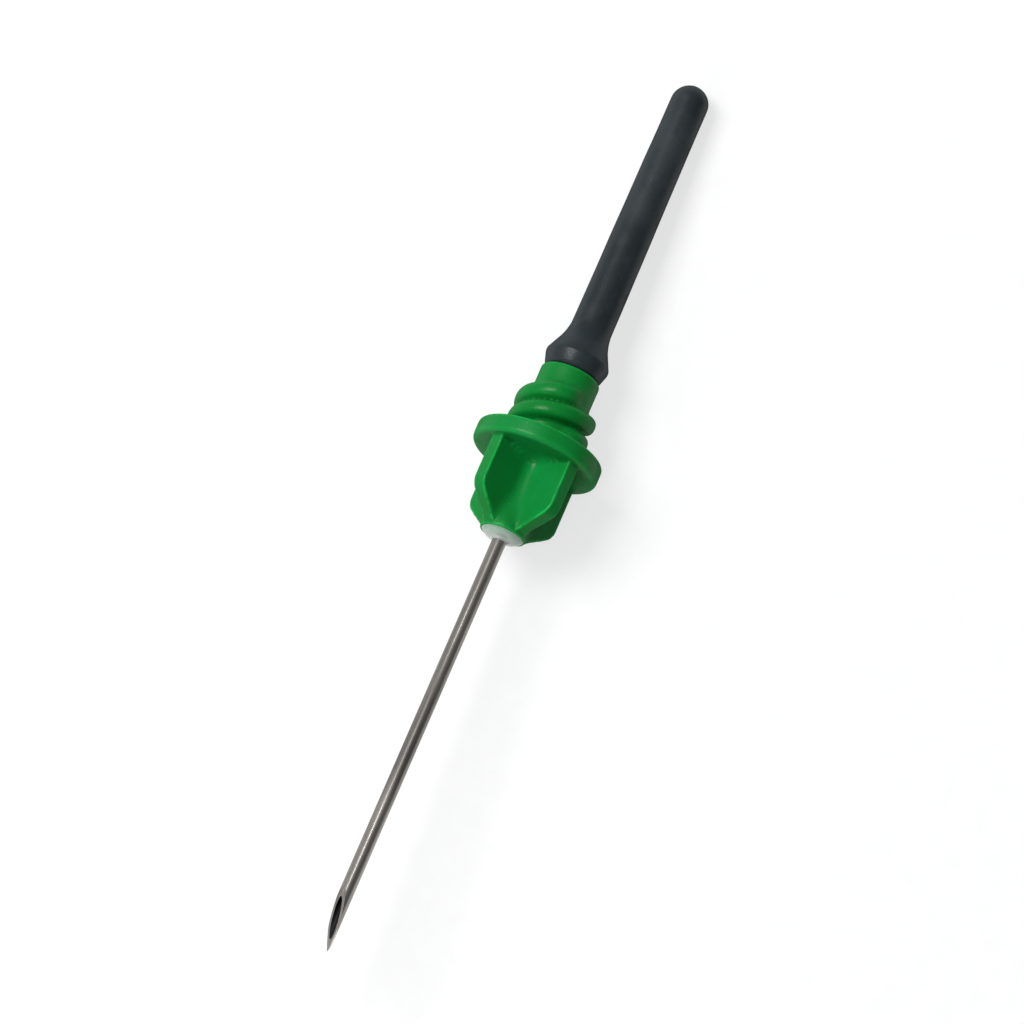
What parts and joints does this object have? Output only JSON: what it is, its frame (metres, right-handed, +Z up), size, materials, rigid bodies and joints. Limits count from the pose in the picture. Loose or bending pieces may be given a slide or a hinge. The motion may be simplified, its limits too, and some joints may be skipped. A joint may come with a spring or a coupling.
{
  "type": "blood collection needle",
  "caption": "Double-ended blood collection needle: bevelled steel tube in a green hub with ribs, flange and coarse thread, its rear end under a black rubber sleeve.",
  "frame": {"origin": "middle of the base of the bounding box, on the surface that the needle lies on", "axes": "+X towards the sharp front end, level; +Z up; the needle's own axis rises from the sleeve to the tip by 6.7 degrees, because it lies on the rim of its flange and the end of its sleeve"},
  "size_m": [0.0534, 0.0072, 0.0072],
  "materials": {
    "green_plastic": "glossy moulded",
    "needle_steel": "drawn and polished",
    "black_rubber": "matte moulded",
    "clear_adhesive": "cured, glossy"
  },
  "bodies": {
    "root": {"hub": "green_plastic", "cannula": "needle_steel", "rubber_sleeve": "black_rubber", "adhesive_bead": "clear_adhesive"}
  },
  "joints": []
}
